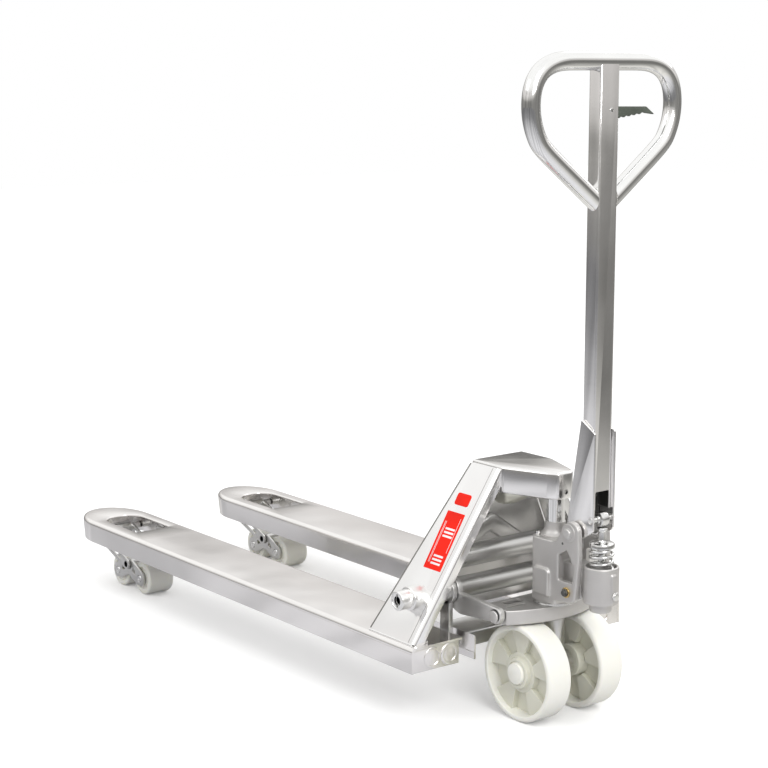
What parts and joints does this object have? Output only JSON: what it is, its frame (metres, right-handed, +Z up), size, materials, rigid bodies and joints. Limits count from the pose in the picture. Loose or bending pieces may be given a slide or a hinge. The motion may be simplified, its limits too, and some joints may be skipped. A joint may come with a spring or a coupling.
{
  "type": "pallet jack",
  "caption": "Hand pallet truck with two forks on folding load rollers, a hydraulic pump on steering wheels and a tilting handle with a loop grip.",
  "frame": {"origin": "on the floor, under the middle of the truck's length and width, forks partly raised", "axes": "+X from the fork tips to the handle, +Y to the truck's right side, +Z up"},
  "size_m": [1.54, 0.52, 1.1962],
  "materials": {
    "polished_steel": "polished, mirror-like",
    "satin_steel": "satin",
    "cast_metal": "light grey, fine cast and coated",
    "nylon": "cream white, semi-gloss",
    "dark_plastic": "matt",
    "dark_steel": "blackened",
    "brass": "bright"
  },
  "bodies": {
    "chassis": {"left_fork": "polished_steel", "right_fork": "polished_steel", "left_leg": "polished_steel", "right_leg": "polished_steel", "bulkhead_panel": "polished_steel", "brace_rib": "polished_steel", "head_plate": "polished_steel", "left_frame_pin": "satin_steel", "right_frame_pin": "satin_steel", "left_shaft_bush": "satin_steel", "right_shaft_bush": "satin_steel", "cross_tube": "satin_steel", "cross_member": "satin_steel"},
    "rocker": {"torsion_shaft": "satin_steel", "left_lift_arm": "satin_steel", "right_lift_arm": "satin_steel", "left_arm_pin": "satin_steel", "right_arm_pin": "satin_steel", "left_lug": "satin_steel", "right_lug": "satin_steel"},
    "left_rod": {"left_push_rod": "satin_steel"},
    "left_frame": {"left_wheel_frame": "satin_steel"},
    "left_truck": {"left_bogie": "satin_steel", "left_front_roller_axle": "satin_steel", "left_rear_roller_axle": "satin_steel"},
    "left_front_load_roller": {"left_front_roller": "nylon"},
    "left_rear_load_roller": {"left_rear_roller": "nylon"},
    "left_wheel": {"left_steering_wheel": "nylon", "left_hub_cap": "nylon"},
    "right_rod": {"right_push_rod": "satin_steel"},
    "right_frame": {"right_wheel_frame": "satin_steel"},
    "right_truck": {"right_bogie": "satin_steel", "right_front_roller_axle": "satin_steel", "right_rear_roller_axle": "satin_steel"},
    "right_front_load_roller": {"right_front_roller": "nylon"},
    "right_rear_load_roller": {"right_rear_roller": "nylon"},
    "right_wheel": {"right_steering_wheel": "nylon", "right_hub_cap": "nylon"},
    "carriage": {"thrust_plate": "cast_metal", "thrust_bearing": "satin_steel"},
    "steer_unit": {"pump_housing": "cast_metal", "steering_stem": "satin_steel", "wheel_axle": "satin_steel", "rear_plug": "satin_steel", "handle_pin": "satin_steel", "valve_bolt": "dark_steel", "valve_washer": "brass", "plunger_spring": "polished_steel"},
    "ram_body": {"ram": "polished_steel"},
    "plunger_body": {"plunger": "satin_steel"},
    "valve": {"valve_lever": "satin_steel"},
    "handle": {"handle_column": "polished_steel", "handle_loop": "polished_steel", "handle_bracket": "polished_steel", "push_roller_pin": "satin_steel", "lever_pin": "satin_steel", "release_rod": "satin_steel"},
    "roller_body": {"push_roller": "satin_steel"},
    "trigger": {"release_lever": "dark_plastic"}
  },
  "joints": [
    {"name": "lift", "type": "hinge", "parent": "chassis", "child": "rocker", "pos_m": [0.463, 0, 0.22], "axis": [0, 1, 0], "range_deg": [-27.4, 26.2]},
    {"name": "carriage_level", "type": "hinge", "parent": "rocker", "child": "carriage", "pos_m": [0.59, 0, 0.199], "axis": [0, 1, 0], "range_deg": [-26.3, 27.5]},
    {"name": "steer", "type": "hinge", "parent": "carriage", "child": "steer_unit", "pos_m": [0.61, 0, 0.21], "axis": [0, 0, 1], "range_deg": [-90, 90]},
    {"name": "ram_slide", "type": "slide", "parent": "steer_unit", "child": "ram_body", "axis": [0, 0, 1], "range_m": [-0.0586, 0.056]},
    {"name": "handle_tilt", "type": "hinge", "parent": "steer_unit", "child": "handle", "pos_m": [0.686, 0, 0.358], "axis": [0, 1, 0], "range_deg": [0, 60], "stiffness_Nm_per_rad": 24, "springref_deg": -11.46},
    {"name": "pump_stroke", "type": "slide", "parent": "steer_unit", "child": "plunger_body", "axis": [0, 0, 1], "range_m": [-0.0505, 0.001], "deforming": ["plunger_spring"]},
    {"name": "push_roller_spin", "type": "hinge", "parent": "handle", "child": "roller_body", "pos_m": [0.727, 0, 0.387], "axis": [0, 1, 0], "continuous": true},
    {"name": "trigger_pivot", "type": "hinge", "parent": "handle", "child": "trigger", "pos_m": [0.713, 0.004, 1.098], "axis": [1, 0, 0], "range_deg": [-10, 14], "stiffness_Nm_per_rad": 0.6},
    {"name": "valve_pivot", "type": "hinge", "parent": "steer_unit", "child": "valve", "pos_m": [0.678, -0.017, 0.306], "axis": [0, 1, 0], "range_deg": [-14.1, 10.1]},
    {"name": "left_wheel_spin", "type": "hinge", "parent": "steer_unit", "child": "left_wheel", "pos_m": [0.61, -0.064, 0.09], "axis": [0, 1, 0], "continuous": true},
    {"name": "right_wheel_spin", "type": "hinge", "parent": "steer_unit", "child": "right_wheel", "pos_m": [0.61, 0.064, 0.09], "axis": [0, 1, 0], "continuous": true},
    {"name": "left_rod_pivot", "type": "hinge", "parent": "rocker", "child": "left_rod", "pos_m": [0.463, -0.123, 0.12], "axis": [0, 1, 0], "range_deg": [-26.3, 27.5]},
    {"name": "left_frame_pivot", "type": "hinge", "parent": "chassis", "child": "left_frame", "pos_m": [-0.69, -0.185, 0.112], "axis": [0, 1, 0], "range_deg": [-26.9, 25.8]},
    {"name": "left_bogie_pivot", "type": "hinge", "parent": "left_frame", "child": "left_truck", "pos_m": [-0.56, -0.185, 0.062], "axis": [0, 1, 0], "range_deg": [-25.8, 26.9]},
    {"name": "left_front_roller_spin", "type": "hinge", "parent": "left_truck", "child": "left_front_load_roller", "pos_m": [-0.608, -0.185, 0.037], "axis": [0, 1, 0], "continuous": true},
    {"name": "left_rear_roller_spin", "type": "hinge", "parent": "left_truck", "child": "left_rear_load_roller", "pos_m": [-0.512, -0.185, 0.037], "axis": [0, 1, 0], "continuous": true},
    {"name": "right_rod_pivot", "type": "hinge", "parent": "rocker", "child": "right_rod", "pos_m": [0.463, 0.123, 0.12], "axis": [0, 1, 0], "range_deg": [-26.3, 27.5]},
    {"name": "right_frame_pivot", "type": "hinge", "parent": "chassis", "child": "right_frame", "pos_m": [-0.69, 0.185, 0.112], "axis": [0, 1, 0], "range_deg": [-26.9, 25.8]},
    {"name": "right_bogie_pivot", "type": "hinge", "parent": "right_frame", "child": "right_truck", "pos_m": [-0.56, 0.185, 0.062], "axis": [0, 1, 0], "range_deg": [-25.8, 26.9]},
    {"name": "right_front_roller_spin", "type": "hinge", "parent": "right_truck", "child": "right_front_load_roller", "pos_m": [-0.608, 0.185, 0.037], "axis": [0, 1, 0], "continuous": true},
    {"name": "right_rear_roller_spin", "type": "hinge", "parent": "right_truck", "child": "right_rear_load_roller", "pos_m": [-0.512, 0.185, 0.037], "axis": [0, 1, 0], "continuous": true}
  ],
  "couplings": [
    {"joint": "carriage_level", "follows": "lift", "ratio": -1},
    {"joint": "ram_slide", "follows": "lift", "m_per_rad": 0.122},
    {"joint": "pump_stroke", "follows": "handle_tilt", "m_per_rad": -0.048},
    {"joint": "valve_pivot", "follows": "trigger_pivot", "ratio": -1},
    {"joint": "left_rod_pivot", "follows": "lift", "ratio": -1},
    {"joint": "left_frame_pivot", "follows": "lift", "ratio": 0.98},
    {"joint": "left_bogie_pivot", "follows": "lift", "ratio": -0.98},
    {"joint": "right_rod_pivot", "follows": "lift", "ratio": -1},
    {"joint": "right_frame_pivot", "follows": "lift", "ratio": 0.98},
    {"joint": "right_bogie_pivot", "follows": "lift", "ratio": -0.98}
  ]
}
